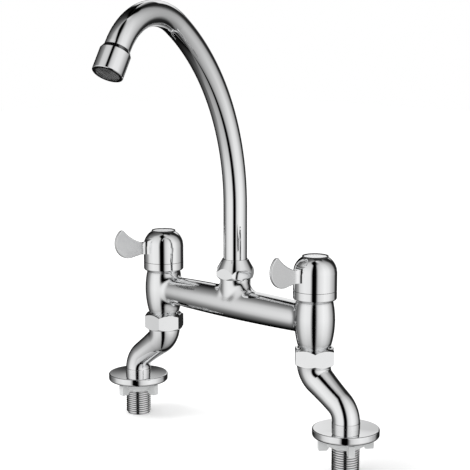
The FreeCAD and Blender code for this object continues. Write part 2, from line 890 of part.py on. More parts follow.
def cartridge_body(name):
    """The brass valve bonnet: a windowed sleeve, a thread, a hexagon and a neck for the spindle."""
    body = new_body(name)
    groove = bonnet_thread_radius - s.bonnet_seal_section
    flange_radius = bonnet_flange_flats * s.bonnet_corner_share
    bottom = chamber_floor + s.sleeve_bottom_gap
    turn_up(
        body,
        (sleeve_inner, bottom),
        (sleeve_outer, bottom),
        (sleeve_outer, chamber_roof),
        (bonnet_thread_radius, chamber_roof),
        (bonnet_thread_radius, bonnet_seal_floor),
        (groove, bonnet_seal_floor),
        (groove, flange_seat),
        (flange_radius, flange_seat),
        (flange_radius, bonnet_flange_top),
        (s.bonnet_neck_radius, bonnet_flange_top),
        (s.bonnet_neck_radius, bonnet_top),
        (neck_bore, bonnet_top),
        (neck_bore, bonnet_roof),
        (sleeve_inner, bonnet_roof),
    )
    flats = new_sketch(body, "XY_Plane", "Spanner", out=bonnet_flange_top)
    hexagon(flats, bonnet_flange_flats)
    circle(flats, 0, 0, bonnet_flange_flats)
    pocket(body, flats, s.bonnet_flange_thickness)
    window = new_sketch(body, "XZ_Plane", "Windows")
    window_top = moving_disc_top + s.window_height
    outline(
        window,
        (-s.window_width / 2, moving_disc_top),
        (s.window_width / 2, moving_disc_top),
        (s.window_width / 2, window_top),
        (-s.window_width / 2, window_top),
    )
    pocket(body, window, chamber_radius * 2, middle=True)
    return body


def ceramic_disc(name, base, slotted):
    """A ceramic disc with two ports. The moving one has a slot for the spindle's tongue."""
    body = new_body(name)
    turn_up(
        body,
        (0, base),
        (s.disc_radius, base),
        (s.disc_radius, base + s.disc_thickness),
        (0, base + s.disc_thickness),
    )
    ports = new_sketch(body, "XY_Plane", "Ports", out=base + s.disc_thickness)
    for way in (1, -1):
        circle(ports, s.disc_port_offset * way, 0, s.disc_port_radius)
    pocket(body, ports, s.disc_thickness)
    if slotted:
        slot = new_sketch(body, "XY_Plane", "Slot", out=base + s.disc_thickness)
        width = s.slot_width / 2
        length = s.disc_radius * s.slot_share
        outline(slot, (-width, -length), (width, -length), (width, length), (-width, length))
        pocket(body, slot, s.slot_depth)
    return body


def spindle(name):
    """The valve spindle: a driver with a long tongue, a sealed shaft and a splined head."""
    body = new_body(name)
    seal_half = s.spindle_seal_section / 2
    seal_floor = s.spindle_radius - s.spindle_seal_section
    clip_floor = s.spindle_radius - s.circlip_groove_depth
    clip_top = circlip_base + s.circlip_thickness
    driver_radius = s.disc_radius - s.driver_step
    turn_up(
        body,
        (0, driver_base),
        (driver_radius, driver_base),
        (driver_radius, driver_top),
        (s.spindle_radius, driver_top),
        (s.spindle_radius, spindle_seal_height - seal_half),
        (seal_floor, spindle_seal_height - seal_half),
        (seal_floor, spindle_seal_height + seal_half),
        (s.spindle_radius, spindle_seal_height + seal_half),
        (s.spindle_radius, circlip_base),
        (clip_floor, circlip_base),
        (clip_floor, clip_top),
        (s.spindle_radius, clip_top),
        (spline_radius, clip_top + s.spline_step),
        (spline_radius, spindle_top, s.spline_step),
        (0, spindle_top),
    )
    tongue_foot = moving_disc_top - s.slot_depth + s.tongue_play
    tongue = new_sketch(body, "XY_Plane", "Tongue", out=tongue_foot)
    width = s.slot_width / 2 - s.tongue_play
    length = s.disc_radius * s.tongue_share
    outline(tongue, (-width, -length), (width, -length), (width, length), (-width, length))
    pad(body, tongue, driver_base - tongue_foot)
    hole = s.screw_shank_radius + s.screw_hole_gap / 2
    hole_floor = screw_seat - s.screw_length - past
    hole_top = spindle_top + past
    turn_out(body, [(0, hole_floor), (hole, hole_floor), (hole, hole_top), (0, hole_top)])
    return body


def circlip(name):
    """The spring clip in the spindle's groove, open on one side."""
    body = new_body(name)
    inner = s.spindle_radius - s.circlip_groove_depth + s.circlip_play
    outer = s.spindle_radius + s.circlip_width
    top = circlip_base + s.circlip_thickness - s.circlip_play
    bottom = circlip_base + s.circlip_play
    turn_up(body, (inner, bottom), (outer, bottom), (outer, top), (inner, top))
    mouth = new_sketch(body, "XY_Plane", "Mouth", out=top)
    width = s.spindle_radius * s.circlip_mouth_share
    outline(mouth, (0, -width), (outer + past, -width), (outer + past, width), (0, width))
    pocket(body, mouth, s.circlip_thickness)
    return body


def shroud_ring(name):
    """The trim ring below the handle, held down by the bonnet's hexagon."""
    body = new_body(name)
    hole = bonnet_thread_radius + s.shroud_gap
    turn_up(
        body,
        (hole, barrel_top),
        (dome_radius, barrel_top, s.shroud_edge_round),
        (dome_radius, shroud_top),
        (dome_inner, shroud_top),
        (dome_inner, flange_seat),
        (hole, flange_seat),
    )
    return body


def handle(name):
    """The dome with its fish-tail lever, hollow but for the splined socket."""
    body = new_body(name)
    turn_up(
        body,
        (0, handle_bottom),
        (dome_radius, handle_bottom),
        (dome_radius, shoulder_height),
        bulge(s.shoulder_radius, 1),
        (cap_recess, dome_rim_height),
        (0, dome_rim_height),
    )
    blade = new_sketch(body, "XZ_Plane", "Lever")
    inside = dome_radius / 2
    neck = dome_radius + s.neck_start
    neck_top = shoulder_height + s.neck_top_rise
    neck_bottom = shoulder_height - s.neck_bottom_drop
    centre = (s.lever_end_reach, shoulder_height + s.lever_end_rise)
    horn, keel = [
        (centre[0] + s.lever_end_radius * cosine(angle), centre[1] + s.lever_end_radius * sine(angle))
        for angle in (s.lever_horn_angle, s.lever_keel_angle)
    ]
    outline(
        blade,
        (inside, neck_bottom),
        (neck, neck_bottom),
        bulge(s.lever_keel_radius, -1),
        keel,
        bulge(s.lever_end_radius, 1),
        (centre[0] + s.lever_end_radius, centre[1]),
        bulge(s.lever_end_radius, 1),
        horn,
        bulge(s.lever_flank_radius, -1),
        (neck, neck_top),
        (inside, neck_top),
    )
    joined = pad(body, blade, s.lever_thickness, middle=True)
    half = s.lever_thickness.value / 2

    def at_horn(edge):
        box = edge.BoundBox
        across = box.XLength < 0.01 and box.ZLength < 0.01
        return across and abs(box.XMin - horn[0].value) < 0.1 and abs(box.ZMin - horn[1].value) < 0.1

    joined = round_edges(body, joined, s.lever_horn_round, at_horn)

    def at_rim(edge):
        box = edge.BoundBox
        flat = abs(abs(box.Center.y) - half) < 0.01 and box.YLength < 0.01
        return flat and box.XMin > neck.value - 0.1

    rounded = round_edges(body, joined, s.lever_edge_round, at_rim)
    round_edges(body, rounded, s.lever_root_fillet, crossing(dome_radius * 0.8, neck))
    screw_hole = s.screw_shank_radius + s.screw_hole_gap
    screw_well = s.screw_head_radius + s.screw_well_gap
    turn_out(
        body,
        [
            (spline_socket, handle_bottom - past),
            (spline_socket, socket_roof),
            (screw_hole, socket_roof),
            (screw_hole, screw_seat),
            (screw_well, screw_seat),
            (screw_well, cap_floor),
            (cap_recess, cap_floor),
            (cap_recess, cap_top + past),
            (0, cap_top + past),
            (0, handle_bottom - past),
        ],
    )
    socket_radius = spline_socket + s.socket_wall
    socket_bottom = circlip_base + s.circlip_thickness + s.socket_gap
    turn_out(
        body,
        [
            (socket_radius, socket_bottom),
            (0, socket_bottom),
            (0, handle_bottom - past),
            (dome_inner, handle_bottom - past),
            (dome_inner, shoulder_height, s.dome_roof_round),
            (socket_radius, shoulder_height + s.dome_roof_rise),
        ],
    )
    return body


def index_cap(name):
    body = new_body(name)
    turn_up(
        body,
        (0, cap_floor),
        (s.cap_radius, cap_floor),
        (s.cap_radius, cap_top, s.cap_edge_round),
        (0, cap_top),
    )
    return body


def handle_screw(name):
    """The screw that draws the handle onto the spindle, with a hexagon socket."""
    body = new_body(name)
    head_top = screw_seat + s.screw_head_height
    turn_up(
        body,
        (0, screw_seat - s.screw_length),
        (s.screw_shank_radius, screw_seat - s.screw_length),
        (s.screw_shank_radius, screw_seat),
        (s.screw_head_radius, screw_seat),
        (s.screw_head_radius, head_top, s.screw_edge_round),
        (0, head_top),
    )
    key = new_sketch(body, "XY_Plane", "Key", out=head_top)
    hexagon(key, s.screw_head_radius)
    pocket(body, key, s.screw_key_depth)
    return body


def spout_path(body, name):
    """The gooseneck's centre line in the XZ plane, from its foot to the mouth."""
    path = new_sketch(body, "XZ_Plane", name)
    points = spout_points()
    outline(
        path,
        (0, spout_foot),
        (0, spout_straight_top),
        bulge(s.first_bend_radius, -1),
        points.first,
        bulge(s.second_bend_radius, -1),
        points.second,
        points.last,
        closed=False,
    )
    return path


def spout_points():
    total = s.first_bend_angle + s.second_bend_angle
    first = (
        s.first_bend_radius * (1 - cosine(s.first_bend_angle)),
        spout_straight_top + s.first_bend_radius * sine(s.first_bend_angle),
    )
    centre = (
        first[0] + s.second_bend_radius * cosine(s.first_bend_angle),
        first[1] - s.second_bend_radius * sine(s.first_bend_angle),
    )
    second = (
        centre[0] - s.second_bend_radius * cosine(total),
        centre[1] + s.second_bend_radius * sine(total),
    )
    mouth = (
        second[0] + s.spout_end_length * sine(total),
        second[1] + s.spout_end_length * cosine(total),
    )
    run = s.spout_end_length - tube_end
    last = (second[0] + run * sine(total), second[1] + run * cosine(total))
    return SimpleNamespace(first=first, second=second, last=last, mouth=mouth, total=total)


def spout_tube():
    body = new_body("spout_tube")
    ring = new_sketch(body, "XY_Plane", "TubeSection", out=spout_foot)
    circle(ring, 0, 0, s.spout_radius)
    circle(ring, 0, 0, s.spout_radius - s.spout_wall)
    pipe(body, ring, spout_path(body, "TubePath"))
    place(body, turn=s.spout_angle - 90)
    return body


def spout_bush():
    """The brass bush brazed to the spout's foot, with two seal grooves and a collar."""
    body = new_body("spout_bush")
    half = s.spout_seal_section / 2
    floor = boss_bore_radius - s.spout_seal_squeeze - s.spout_seal_section
    items = [(bush_inner, spout_foot), (bush_radius, spout_foot)]
    for height in (lower_seal_height, upper_seal_height):
        items += [
            (bush_radius, height - half),
            (floor, height - half),
            (floor, height + half),
            (bush_radius, height + half),
        ]
    items += [
        (bush_radius, collar_base),
        (bush_collar_radius, collar_base),
        (bush_collar_radius, collar_top),
        (bush_inner, collar_top),
    ]
    turn_up(body, *items)
    place(body, turn=s.spout_angle - 90)
    return body


def spout_seals():
    """The two rubber rings in the bush's grooves, as one group."""
    middle = boss_bore_radius - s.spout_seal_squeeze - s.spout_seal_section / 2
    rings = []
    for name, height in (("lower_seal", lower_seal_height), ("upper_seal", upper_seal_height)):
        ring = round_ring(name, middle, s.spout_seal_section)
        place(ring, z=height)
        rings.append(ring)
    group = document.addObject("Part::Compound", "spout_o_rings")
    group.Label = "spout_o_rings"
    group.Links = rings
    nodes.append(group)


def spout_nut():
    """The cone-topped hexagon nut that holds the bush's collar down on the boss."""
    body = new_body("spout_nut")
    corner = spout_nut_flats / math.sqrt(3)
    base = boss_top - s.spout_nut_skirt
    top = base + s.spout_nut_length
    prism = new_sketch(body, "XY_Plane", "Hexagon", out=base)
    hexagon(prism, spout_nut_flats)
    pad(body, prism, s.spout_nut_length)
    outside = corner + past
    hole = s.spout_radius + s.spout_nut_gap
    top_radius = hole + s.spout_nut_rim
    cone_foot = top - (outside - top_radius) / s.spout_nut_slope
    foot = spout_nut_bore_radius + s.spout_nut_foot_step
    ceiling = collar_top + s.handle_gap
    turn_out(
        body,
        [(top_radius, top), (outside, cone_foot), (outside, top + past), (top_radius, top + past)],
    )
    turn_out(
        body,
        [
            (foot, base),
            (outside, base),
            (outside, base + s.spout_nut_foot_height),
            (corner, base + s.spout_nut_foot_height),
        ],
        [
            (0, base - past),
            (spout_nut_bore_radius, base - past),
            (spout_nut_bore_radius, ceiling),
            (hole, ceiling),
            (hole, top + past),
            (0, top + past),
        ],
    )
    place(body, turn=s.spout_nut_angle)
    return body


def at_mouth(item):
    """Put an aerator piece on the spout's end, with its own Z pointing back up the tube."""
    points = spout_points()
    reach, height = points.mouth
    turn = s.spout_angle - 90
    place(
        item,
        x=reach * cosine(turn),
        y=reach * sine(turn),
        z=height,
        turn=turn,
        tilt=points.total - 180,
    )


def aerator():
    """The aerator screwed on the spout's end: housing, tip sleeve, washer, insert and screen."""
    housing = new_body("aerator_housing")
    mouth = insert_radius - s.aerator_lip_width
    insert_room = insert_radius + s.aerator_insert_gap
    thread = tip_thread_radius + s.tip_thread_gap
    turn_up(
        housing,
        (mouth, 0),
        (aerator_radius - s.aerator_mouth_chamfer, 0),
        (aerator_radius, s.aerator_mouth_chamfer),
        (aerator_radius, s.aerator_length),
        (thread, s.aerator_length),
        (thread, insert_top),
        (insert_room, insert_top),
        (insert_room, s.aerator_lip),
        (mouth, s.aerator_lip),
    )
    sleeve = new_body("spout_tip_sleeve")
    shoulder_base = s.aerator_length + s.aerator_joint
    shoulder_top = shoulder_base + s.aerator_shoulder
    turn_up(
        sleeve,
        (bush_inner, tube_end),
        (tip_thread_radius, tube_end),
        (tip_thread_radius, shoulder_base),
        (aerator_radius, shoulder_base),
        (bush_inner + s.tip_thread_wall / 3, shoulder_top),
        (bush_inner, shoulder_top),
    )
    washer_radius = tip_thread_radius - s.aerator_washer_play
    washer_bore = washer_radius - s.aerator_washer_width
    washer = tube_ring("aerator_washer", washer_bore, washer_radius, insert_top, tube_end)
    insert = new_body("aerator_insert")
    floor = insert_base + s.aerator_insert_length / 2
    items = [(0, insert_base)]
    for ring in range(3):
        inner = insert_radius * (s.insert_slot_start_share + s.insert_slot_spacing_share * ring)
        outer = inner + insert_radius * s.insert_slot_share
        items += [(inner, insert_base), (inner, floor), (outer, floor), (outer, insert_base)]
    items += [(insert_radius, insert_base), (insert_radius, insert_top), (0, insert_top)]
    turn_up(insert, *items)
    screen = tube_ring("aerator_screen", 0, insert_radius, s.aerator_lip, insert_base)
    for item in (housing, sleeve, washer, insert, screen):
        at_mouth(item)


def half_of_tap(side, centre, handle_angle, leg_angle, union_angle, wing_angle):
    """Every piece that the hot and the cold side have alike."""
    seal_inner = s.inlet_radius + s.seal_inner_step
    fixed = [
        cartridge_body(f"{side}_cartridge_body"),
        ceramic_disc(f"{side}_fixed_disc", disc_base, False),
        tube_ring(f"{side}_seat_seal", seal_inner, s.disc_radius, chamber_floor, disc_base),
        shroud_ring(f"{side}_shroud_ring"),
        tube_ring(
            f"{side}_union_ring",
            spigot_radius - s.union_ring_groove_depth + s.union_ring_play,
            union_thread_radius - s.union_ring_play * 3,
            union_ring_bottom + s.union_ring_play,
            union_ring_top - s.union_ring_play,
        ),
        tube_ring(
            f"{side}_union_washer",
            s.waterway_radius + s.seal_play,
            union_thread_radius - s.seal_play,
            leg_top,
            spigot_end,
        ),
    ]
    for item in fixed:
        place(item, x=centre)
    place(union_nut(f"{side}_union_nut"), x=centre, turn=union_angle)
    bonnet_seal = round_ring(
        f"{side}_bonnet_o_ring",
        bonnet_thread_radius - s.bonnet_seal_section / 2,
        s.bonnet_seal_section,
    )
    place(bonnet_seal, x=centre, z=bonnet_seal_floor + s.bonnet_seal_section / 2 + s.seal_play)
    nodes.append(bonnet_seal)
    turning = [
        handle(f"{side}_handle"),
        index_cap(f"{side}_index_cap"),
        handle_screw(f"{side}_handle_screw"),
        spindle(f"{side}_spindle"),
        ceramic_disc(f"{side}_moving_disc", moving_disc_base, True),
        circlip(f"{side}_spindle_circlip"),
    ]
    for item in turning:
        place(item, x=centre, turn=handle_angle - 90)
    spindle_seal = round_ring(
        f"{side}_spindle_o_ring",
        s.spindle_radius - s.spindle_seal_section / 2,
        s.spindle_seal_section,
    )
    place(spindle_seal, x=centre, z=spindle_seal_height)
    nodes.append(spindle_seal)
    place(leg(f"{side}_leg"), x=centre, turn=leg_angle)
    foot_x = centre + s.leg_offset * cosine(leg_angle)
    foot_y = s.leg_offset * sine(leg_angle)
    standing = [
        tail(f"{side}_tail"),
        flange(f"{side}_flange"),
        tube_ring(
            f"{side}_flange_gasket",
            gasket_inner + s.gasket_play,
            gasket_outer - s.gasket_play,
            0,
            s.gasket_depth,
        ),
        tube_ring(
            f"{side}_clamp_washer",
            s.thread_radius + s.washer_play,
            hub_radius - s.washer_step,
            nut_top,
            0,
        ),
    ]
    for item in standing:
        place(item, x=foot_x, y=foot_y)
    place(wing_nut(f"{side}_wing_nut"), x=foot_x, y=foot_y, turn=wing_angle)


bridge_body()
half_of_tap("hot", -half_centres, s.handle_angle_hot, s.leg_angle_hot, s.union_angle_hot, s.wing_angle_hot)
half_of_tap(
    "cold", half_centres, s.handle_angle_cold, s.leg_angle_cold, s.union_angle_cold, s.wing_angle_cold
)
spout_tube()
spout_bush()
spout_seals()
tube_ring(
    "spout_slip_ring",
    boss_bore_radius + s.bush_gap,
    bush_collar_radius,
    boss_top,
    boss_top + s.slip_ring_thickness,
)
spout_nut()
aerator()

document.recompute()
failed = [item.Label for item in document.Objects if "Invalid" in item.State or "Error" in item.State]
bad = [item.Label for item in nodes if item.Shape.isNull() or not item.Shape.isValid()]
bad += [item.Label for item in nodes if item.TypeId == "PartDesign::Body" and len(item.Shape.Solids) != 1]
if failed or bad:
    raise SystemExit(f"failed objects: {failed}, bad shapes: {bad}")
os.makedirs("parts", exist_ok=True)
for item in nodes:
    item.Shape.exportStep(f"parts/{item.Label}.step")
print(f"{len(nodes)} pieces written")
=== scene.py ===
import math

import bmesh
import bpy
from mathutils import Matrix, Vector


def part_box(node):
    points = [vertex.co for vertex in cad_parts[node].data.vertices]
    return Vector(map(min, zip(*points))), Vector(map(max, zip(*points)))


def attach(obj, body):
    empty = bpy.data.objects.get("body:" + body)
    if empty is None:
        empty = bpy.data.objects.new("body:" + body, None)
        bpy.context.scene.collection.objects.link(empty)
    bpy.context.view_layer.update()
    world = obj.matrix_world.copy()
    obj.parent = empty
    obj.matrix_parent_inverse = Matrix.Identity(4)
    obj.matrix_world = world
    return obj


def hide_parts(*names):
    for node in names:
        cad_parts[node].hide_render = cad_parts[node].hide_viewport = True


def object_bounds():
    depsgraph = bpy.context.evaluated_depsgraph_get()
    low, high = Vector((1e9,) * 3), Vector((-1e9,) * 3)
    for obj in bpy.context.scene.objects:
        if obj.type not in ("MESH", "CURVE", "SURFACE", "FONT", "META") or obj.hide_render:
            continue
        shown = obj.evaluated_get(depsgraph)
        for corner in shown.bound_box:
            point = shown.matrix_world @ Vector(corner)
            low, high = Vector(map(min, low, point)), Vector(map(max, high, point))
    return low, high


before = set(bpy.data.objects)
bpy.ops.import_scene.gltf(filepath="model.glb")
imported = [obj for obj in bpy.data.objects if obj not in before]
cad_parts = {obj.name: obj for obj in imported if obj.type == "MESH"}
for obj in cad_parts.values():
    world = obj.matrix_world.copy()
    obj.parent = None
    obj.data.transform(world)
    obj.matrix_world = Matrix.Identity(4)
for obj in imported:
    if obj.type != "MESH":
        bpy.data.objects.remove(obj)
cad_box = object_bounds()

SIDES = ("hot", "cold")
UP = Vector((0, 0, 1))

CAMERA_AZIMUTH = math.radians(44.64)
CAMERA_ELEVATION = math.radians(9.58)
CAMERA_DISTANCE = 1.06218
CAMERA_TARGET = Vector((-0.0003, 0, 0.13866))
CAMERA_LENS = 103.61

FLOOR_DROP = 0.0002
FLOOR_SIZE = 3.0
PLAIN_LIGHT = 0.80

# Points nearer than this, in metres, count as one
SAME_PLACE = 1e-6


class Value:
    """A number that varies over a surface. Sums of such values add Math nodes."""

    def __init__(self, nodes, socket):
        self.nodes = nodes
        self.socket = socket

    def math(self, operation, *inputs):
        sockets = dict(enumerate(inputs))
        made = self.nodes.node("ShaderNodeMath", {"operation": operation}, sockets)
        return Value(self.nodes, made.outputs[0])

    def __add__(self, other):
        return self.math("ADD", self, other)

    __radd__ = __add__

    def __sub__(self, other):
        return self.math("SUBTRACT", self, other)

    def __rsub__(self, other):
        return self.math("SUBTRACT", other, self)

    def __mul__(self, other):
        return self.math("MULTIPLY", self, other)

    __rmul__ = __mul__

    def __abs__(self):
        return self.math("ABSOLUTE", self)

    def largest(self, other):
        return self.math("MAXIMUM", self, other)

    def profile(self, stops):
        """The tone that the stops give: straight lines between {value: tone} pairs."""
        first, last = min(stops), max(stops)
        reach = self.nodes.node(
            "ShaderNodeMapRange", {}, {"Value": self, "From Min": first, "From Max": last}
        )
        ramp = self.nodes.node("ShaderNodeValToRGB", {}, {"Fac": Value(self.nodes, reach.outputs[0])})
        line = ramp.color_ramp.elements
        for place, tone in stops.items():
            stop = line.new((place - first) / (last - first))
            stop.color = (tone, tone, tone, 1)
        line.remove(line[0])
        line.remove(line[-1])
        return Value(self.nodes, ramp.outputs["Color"])

    def step(self, start, end):
        """0 up to start, 1 from end on and a smooth slope between."""
        made = self.nodes.node(
            "ShaderNodeMapRange",
            {"interpolation_type": "SMOOTHSTEP"},
            {"Value": self, "From Min": start, "From Max": end},
        )
        return Value(self.nodes, made.outputs[0])


class Nodes:
    """The node tree of one material or of the world."""

    def __init__(self, tree):
        self.tree = tree

    def node(self, kind, settings, sockets):
        made = self.tree.nodes.new(kind)
        for key, setting in settings.items():
            setattr(made, key, setting)
        for key, given in sockets.items():
            self.feed(made.inputs[key], given)
        return made

    def feed(self, socket, given):
        if isinstance(given, Value):
            given = given.socket
        if isinstance(given, bpy.types.NodeSocket):
            self.tree.links.new(given, socket)
        else:
            socket.default_value = given

    def value(self, kind, settings, sockets, output):
        return Value(self, self.node(kind, settings, sockets).outputs[output])

    def vector(self, operation, *inputs):
        made = self.node("ShaderNodeVectorMath", {"operation": operation}, dict(enumerate(inputs)))
        return made.outputs["Vector"]

    def dot(self, vector, axis):
        made = {"operation": "DOT_PRODUCT"}
        return self.value("ShaderNodeVectorMath", made, {0: vector, 1: axis}, "Value")

    def length(self, vector):
        return self.value("ShaderNodeVectorMath", {"operation": "LENGTH"}, {0: vector}, "Value")

    def joined(self, x, y, z):
        return self.node("ShaderNodeCombineXYZ", {}, {0: x, 1: y, 2: z}).outputs[0]

    def noise(self, vector, scale, detail):
        sockets = {"Vector": vector, "Scale": scale, "Detail": detail}
        return self.value("ShaderNodeTexNoise", {}, sockets, "Fac")

    def mixed(self, share, first, second):
        """The first colour where share is 0, the second where it is 1."""
        sockets = {0: share, 6: (*first, 1), 7: (*second, 1)}
        return self.node("ShaderNodeMix", {"data_type": "RGBA"}, sockets).outputs[2]


class Finish(Nodes):
    """One material of the tap, with its pattern in the part's own coordinates."""

    def __init__(self, name):
        self.material = bpy.data.materials.new(name)
        self.material.use_nodes = True
        super().__init__(self.material.node_tree)
        self.surface = self.tree.nodes["Principled BSDF"]
        self.place = self.node("ShaderNodeTexCoord", {}, {}).outputs["Object"]

    def looks(self, sockets):
        for key, given in sockets.items():
            self.feed(self.surface.inputs[key], given)

    def relief(self, height, depth, blend=0):
        """A bump of the given depth in metres where height goes from 0 to 1.

        Corners are softened over the radius blend, as a polished casting's are.
        """
        sockets = {"Height": height, "Distance": depth, "Strength": 1.0}
        if blend:
            soft = self.node("ShaderNodeBevel", {"samples": 16}, {"Radius": blend})
            sockets["Normal"] = soft.outputs["Normal"]
        made = self.node("ShaderNodeBump", {}, sockets)
        self.feed(self.surface.inputs["Normal"], made.outputs["Normal"])

    def around(self, centre, axis):
        """Distance from an axis through centre, and height along it."""
        offset = self.vector("SUBTRACT", self.place, centre)
        height = self.dot(offset, axis)
        radius = self.length(self.vector("CROSS_PRODUCT", offset, axis))
        return radius, height

    def tool_lines(self, centre, axis, spacing):
        """Fine uneven rings round an axis, as a lathe leaves them."""
        radius, height = self.around(centre, axis)
        return self.noise(self.joined(radius, height, 0.0), 1 / spacing, 3.0)


def plated(name, tone, gloss, ripple, blend=0):
    """Bright chrome plate on a polished casting or tube, with hardly visible ripples."""
    finish = Finish(name)
    clouds = finish.noise(finish.place, 45.0, 2.0)
    wipe = finish.noise(finish.place, 420.0, 4.0)
    haze = clouds.step(0.45, 0.75)
    finish.looks({
        "Base Color": finish.mixed(haze, tone, [0.985 * part for part in tone]),
        "Metallic": 1.0,
        "Roughness": gloss + 0.012 * haze + 0.008 * wipe,
    })
    finish.relief(finish.noise(finish.place, 70.0, 1.0), ripple, blend)
    return finish.material


def plated_handle(name, tone, centre, lever_turn, painted_side_tone, gloss):
    """Bright chrome on the dome and the lever's edges, and a satin lever side whose colour is scaled per
    lever as painted light and shade.
    """
    finish = Finish(name)
    radius, _ = finish.around(centre, UP)
    facing = finish.node("ShaderNodeTexCoord", {}, {}).outputs["Normal"]
    side = (math.cos(lever_turn), math.sin(lever_turn), 0)
    flat = abs(finish.dot(facing, side)).step(0.97, 0.995) * radius.step(LEVER_FOOT[0], LEVER_FOOT[1])
    grain = finish.noise(finish.place, 2400.0, 3.0)
    haze = finish.noise(finish.place, 45.0, 2.0).step(0.45, 0.75)
    finish.looks({
        # The lever side's colour, scaled per lever, is painted light and shade
        "Base Color": finish.mixed(flat, tone, [painted_side_tone * part for part in tone]),
        "Metallic": 1.0,
        "Roughness": gloss + 0.012 * haze + flat * (0.24 + 0.06 * grain),
    })
    finish.relief(finish.noise(finish.place, 70.0, 1.0) + 0.15 * flat * grain, 0.000008)
    return finish.material


def plated_turned(name, tone, centre, axis, gloss):
    """Bright chrome plate over a turned part: faint rings under the gloss."""
    finish = Finish(name)
    rings = finish.tool_lines(centre, axis, 0.0007)
    clouds = finish.noise(finish.place, 60.0, 2.0).step(0.4, 0.7)
    finish.looks({
        "Base Color": finish.mixed(clouds, tone, [0.98 * part for part in tone]),
        "Metallic": 1.0,
        "Roughness": gloss + 0.012 * rings + 0.01 * clouds,
    })
    finish.relief(rings, 0.0000008)
    return finish.material


def enamelled(name, centre, reach):
    """White enamel out to this radius on a cap, and outside it a dull black ring that is a painted dark
    reflection of the chrome rim.
    """
    finish = Finish(name)
    radius, _ = finish.around(centre, UP)
    # Outside the enamel radius the colour is a painted dark reflection, not a black part
    painted_rim_mask = radius.step(reach, reach + 0.0002)
    clouds = finish.noise(finish.place, 300.0, 3.0)
    finish.looks({
        "Base Color": finish.mixed(painted_rim_mask, ENAMEL, PAINTED_RIM_REFLECTION),
        "Roughness": 0.16 + 0.08 * clouds + 0.45 * painted_rim_mask,
    })
    finish.relief(clouds * (1 - painted_rim_mask), 0.000006)
    return finish.material


def plated_thread(name, centre, crest):
    """Dull plate on a cut thread of this radius, darker down in the roots."""
    finish = Finish(name)
    radius, height = finish.around(centre, UP)
    root = 1 - radius.step(crest - THREAD_DEPTH, crest - 0.0002)
    streaks = finish.noise(finish.joined(radius, height, 0.0), 2600.0, 2.0)
    grain = finish.noise(finish.place, 1500.0, 3.0)
    finish.looks({
        "Base Color": finish.mixed(root, THREAD_CREST_TONE, THREAD_ROOT_TONE),
        "Metallic": 1.0,
        "Roughness": 0.07 + 0.10 * root + 0.05 * grain,
    })
    finish.relief(0.6 * streaks + 0.4 * grain, 0.000012)
    return finish.material


def machined(name, bright, dull, centre, axis, spacing, gloss):
    """Bare metal from the lathe, with tool rings and a patchy tarnish."""
    finish = Finish(name)
    rings = finish.tool_lines(centre, axis, spacing)
    tarnish = finish.noise(finish.place, 170.0, 4.0).step(0.42, 0.68)
    finish.looks({
        "Base Color": finish.mixed(tarnish, bright, dull),
        "Metallic": 1.0,
        "Roughness": gloss + 0.16 * rings + 0.10 * tarnish,
    })
    finish.relief(rings, 0.000012)
    return finish.material


def moulded(name, tone, shade, gloss, grain_size, depth):
    """Moulded plastic or rubber: fine grain, a soft cloudiness and duller patches."""
    finish = Finish(name)
    grain = finish.noise(finish.place, 1 / grain_size, 5.0)
    flow = finish.noise(finish.place, 95.0, 3.0).step(0.35, 0.7)
    finish.looks({
        "Base Color": finish.mixed(flow, tone, shade),
        "Roughness": gloss + 0.12 * flow + 0.08 * grain,
    })
    finish.relief(grain, depth)
    return finish.material


def lapped(name):
    """Lapped white ceramic with a faint speckle."""
    finish = Finish(name)
    speckle = finish.noise(finish.place, 2400.0, 5.0).step(0.55, 0.75)
    lap = finish.noise(finish.place, 260.0, 2.0)
    finish.looks({
        "Base Color": finish.mixed(speckle, (0.86, 0.855, 0.83), (0.78, 0.77, 0.74)),
        "Roughness": 0.18 + 0.10 * lap,
        "IOR": 1.7,
    })
    finish.relief(speckle, 0.000004)
    return finish.material


def dress(node, material):
    """Puts one material on every slot of a node."""
    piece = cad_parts[node]
    piece.data.materials.clear()
    piece.data.materials.append(material)


def middle(node):
    low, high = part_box(node)
    return (low + high) / 2


def finished_piece(name, shape):
    """The scene's object for a finished bmesh."""
    mesh = bpy.data.meshes.new(name)
    shape.to_mesh(mesh)
    shape.free()
    piece = bpy.data.objects.new(name, mesh)
    bpy.context.scene.collection.objects.link(piece)
    return piece


def woven_screen(name, centre, axis, radius, pitch, wire):
    """A round piece of wire gauze, over and under, square to axis."""
    cells = 2 * math.ceil(radius / pitch)
    gauze = bmesh.new()
    bmesh.ops.create_grid(gauze, x_segments=cells, y_segments=cells, size=cells * pitch / 2)
    outside = [v for v in gauze.verts if v.co.length > radius]
    bmesh.ops.delete(gauze, geom=outside, context="VERTS")
    for v in gauze.verts:
        over = (round(v.co.x / pitch) + round(v.co.y / pitch)) % 2
        v.co.z = wire * (0.5 if over else -0.5)
    bmesh.ops.wireframe(
        gauze, faces=gauze.faces, thickness=wire, offset=0.0,
        use_replace=True, use_boundary=True, use_even_offset=True,
    )
    turn = UP.rotation_difference(axis).to_matrix().to_4x4()
    bmesh.ops.transform(gauze, matrix=Matrix.Translation(centre) @ turn, verts=gauze.verts)
    bmesh.ops.recalc_face_normals(gauze, faces=gauze.faces)
    return finished_piece(name, gauze)


def runs_round(edge, centre):
    """Whether an edge keeps its distance from the upright axis through centre."""
    first, second = ((v.co - centre).xy.length for v in edge.verts)
    return abs(first - second) < SAME_PLACE


